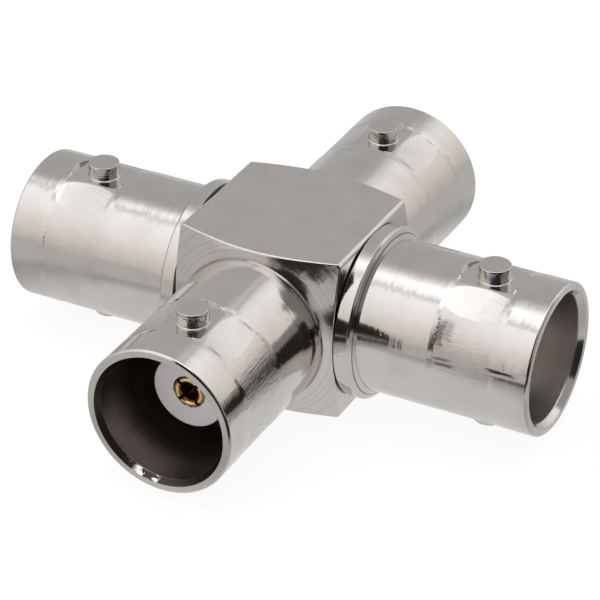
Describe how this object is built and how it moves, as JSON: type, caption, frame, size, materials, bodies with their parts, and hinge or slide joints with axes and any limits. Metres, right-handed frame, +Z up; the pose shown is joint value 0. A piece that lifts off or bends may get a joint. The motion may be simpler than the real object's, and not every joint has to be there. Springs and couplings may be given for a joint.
{
  "type": "bnc adapter",
  "caption": "Cross-shaped coaxial adapter: a square metal block with a female bayonet port on each side, insulating tubes and slotted gold socket contacts.",
  "frame": {"origin": "the point where the axes of the four ports cross, in the middle of the block", "axes": "+X along the right port's axis, +Y along the back port's axis, +Z up out of the block's flat top"},
  "size_m": [0.036, 0.0338, 0.011],
  "materials": {
    "nickel_plate": "gloss",
    "white_insulation": "matte",
    "gold_plate": "polished",
    "bare_brass": "satin"
  },
  "bodies": {
    "root": {"body": "nickel_plate", "right_shell": "nickel_plate", "left_shell": "nickel_plate", "right_insulator": "white_insulation", "left_insulator": "white_insulation", "front_insulator": "white_insulation", "back_insulator": "white_insulation", "right_contact": "gold_plate", "left_contact": "gold_plate", "front_contact": "gold_plate", "back_contact": "gold_plate", "centre_hub": "bare_brass"}
  },
  "joints": []
}
